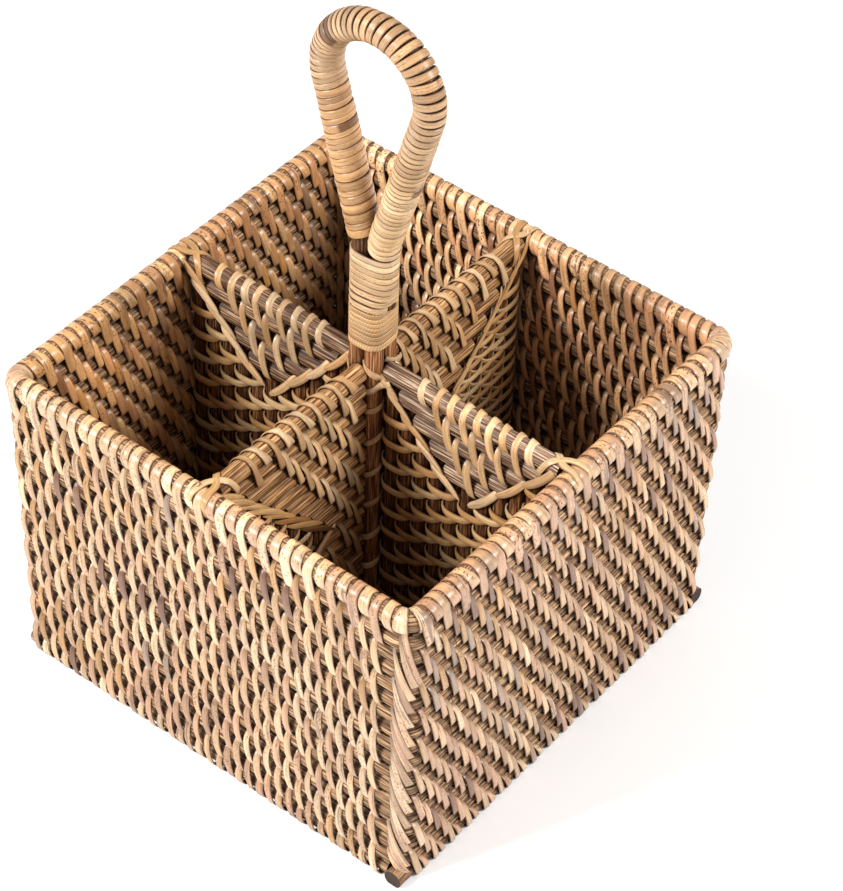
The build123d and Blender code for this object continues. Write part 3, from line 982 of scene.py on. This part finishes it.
looks = {
    "hoop": rod("wall_rod", "hoop", *brown),
    "rail_x": rod("rail_rod_x", "x", *brown),
    "rail_y": rod("rail_rod_y", "y", *brown),
    "course_y": rod("course_rod", "y", *golden),
    "course_x": rod("ash_rod", "x", *ash, gloss=0.5, fineness=2000.0),
    "course_left": rod("umber_rod", "x", *umber, gloss=0.5, fineness=2000.0),
    "upright": rod("upright_rod", "z", *dark, gloss=0.45),
    "post": rod("post_rod", "z", *ruddy, gloss=0.38),
}


def look_of(name):
    if name.startswith(("wall_hoop", "rim_rod")):
        return "hoop"
    if name in ("base_rail_front", "base_rail_back", "floor_rods"):
        return "rail_x"
    if name.startswith("base_rail"):
        return "rail_y"
    if name == "partition_left_courses":
        return "course_left"
    if name.endswith("courses"):
        return "course_y" if "front" in name or "back" in name else "course_x"
    if name.startswith("post"):
        return "post"
    return "upright"


for name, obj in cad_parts.items():
    if "binding" not in name:
        obj.data.materials.clear()
        obj.data.materials.append(looks[look_of(name)])

for name, made in pieces.items():
    if name in sides:
        made[0].piece(f"wall_straps_{name}", wall_peel, "rim_peel")
        made[1].piece(f"rim_straps_{name}", edge_peel, "rim_peel", f"rim_binding_{name}")
        for straps in made[2:]:
            straps.piece(f"corner_straps_{name}", corner_peel, "rim_peel")
    else:
        made[0].piece(f"{name}_straps", panel_peel, "rim_peel")
        made[1].piece(f"{name}_stitches", panel_peel, "rim_peel")
ties.piece("ties", panel_peel, "rim_peel")
for name, strips in handle.items():
    strips.piece(f"handle_peel_{name}", straw_peel, "handle_peel", f"handle_binding_{name}")
neck["low"].piece("neck_peel_low", hatched_peel, "handle_peel", "neck_binding")
neck["high"].piece("neck_peel_high", straw_peel, "handle_peel", "neck_binding")

# Floor, light and camera, in metres
scene = bpy.context.scene
scene.view_settings.view_transform = "Standard"
floor_half = 6
floor_mesh = bpy.data.meshes.new("floor")
floor_corners = [(x * floor_half, y * floor_half, 0) for x, y in ((-1, -1), (1, -1), (1, 1), (-1, 1))]
floor_mesh.from_pydata(floor_corners, [], [(0, 1, 2, 3)])
floor = bpy.data.objects.new("floor", floor_mesh)
scene.collection.objects.link(floor)
pale, _, shader = started("pale_floor")
shader.inputs["Base Color"].default_value = (0.96, 0.96, 0.96, 1)
shader.inputs["Roughness"].default_value = 0.9
floor_mesh.materials.append(pale)
floor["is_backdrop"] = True

world = bpy.data.worlds.new("studio")
scene.world = world
world.use_nodes = True
background = world.node_tree.nodes["Background"]
background.inputs["Color"].default_value = (1, 1, 1, 1)
background.inputs["Strength"].default_value = 0.44


def softbox(name, place, target, size, power):
    light = bpy.data.lights.new(name, "AREA")
    light.shape, light.size, light.energy = "SQUARE", size, power
    obj = bpy.data.objects.new(name, light)
    scene.collection.objects.link(obj)
    obj.location = place
    obj.rotation_euler = (Vector(target) - Vector(place)).to_track_quat("-Z", "Y").to_euler()


light_target = (0, 0, 0.1)
softbox("left", (-0.75, -1.35, 1.4), light_target, size=0.6, power=56)
softbox("right", (1.45, 0.45, 1.2), light_target, size=0.6, power=34)

# The camera as solved from the photo, with its focal length in pixels of the photo's longer side
sensor, focal_pixels, longer_side = 36.0, 3149, 891
eye = (0.53933, -0.67625, 0.94732)
az, el, spin = math.radians(37.28), math.radians(44.44), math.radians(2.08)
back = np.array([math.sin(az) * math.cos(el), -math.cos(az) * math.cos(el), math.sin(el)])
right = unit(np.cross(UP, back))
up = np.cross(back, right)
right, up = right * math.cos(spin) + up * math.sin(spin), up * math.cos(spin) - right * math.sin(spin)
camera_data = bpy.data.cameras.new("camera")
camera = bpy.data.objects.new("camera", camera_data)
scene.collection.objects.link(camera)
camera.matrix_world = Matrix([[right[i], up[i], back[i], eye[i]] for i in range(3)] + [[0, 0, 0, 1]])
camera_data.sensor_width = sensor
camera_data.lens = sensor * focal_pixels / longer_side
camera_data.clip_end = 20
scene.camera = camera

bpy.context.view_layer.update()
low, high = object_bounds()
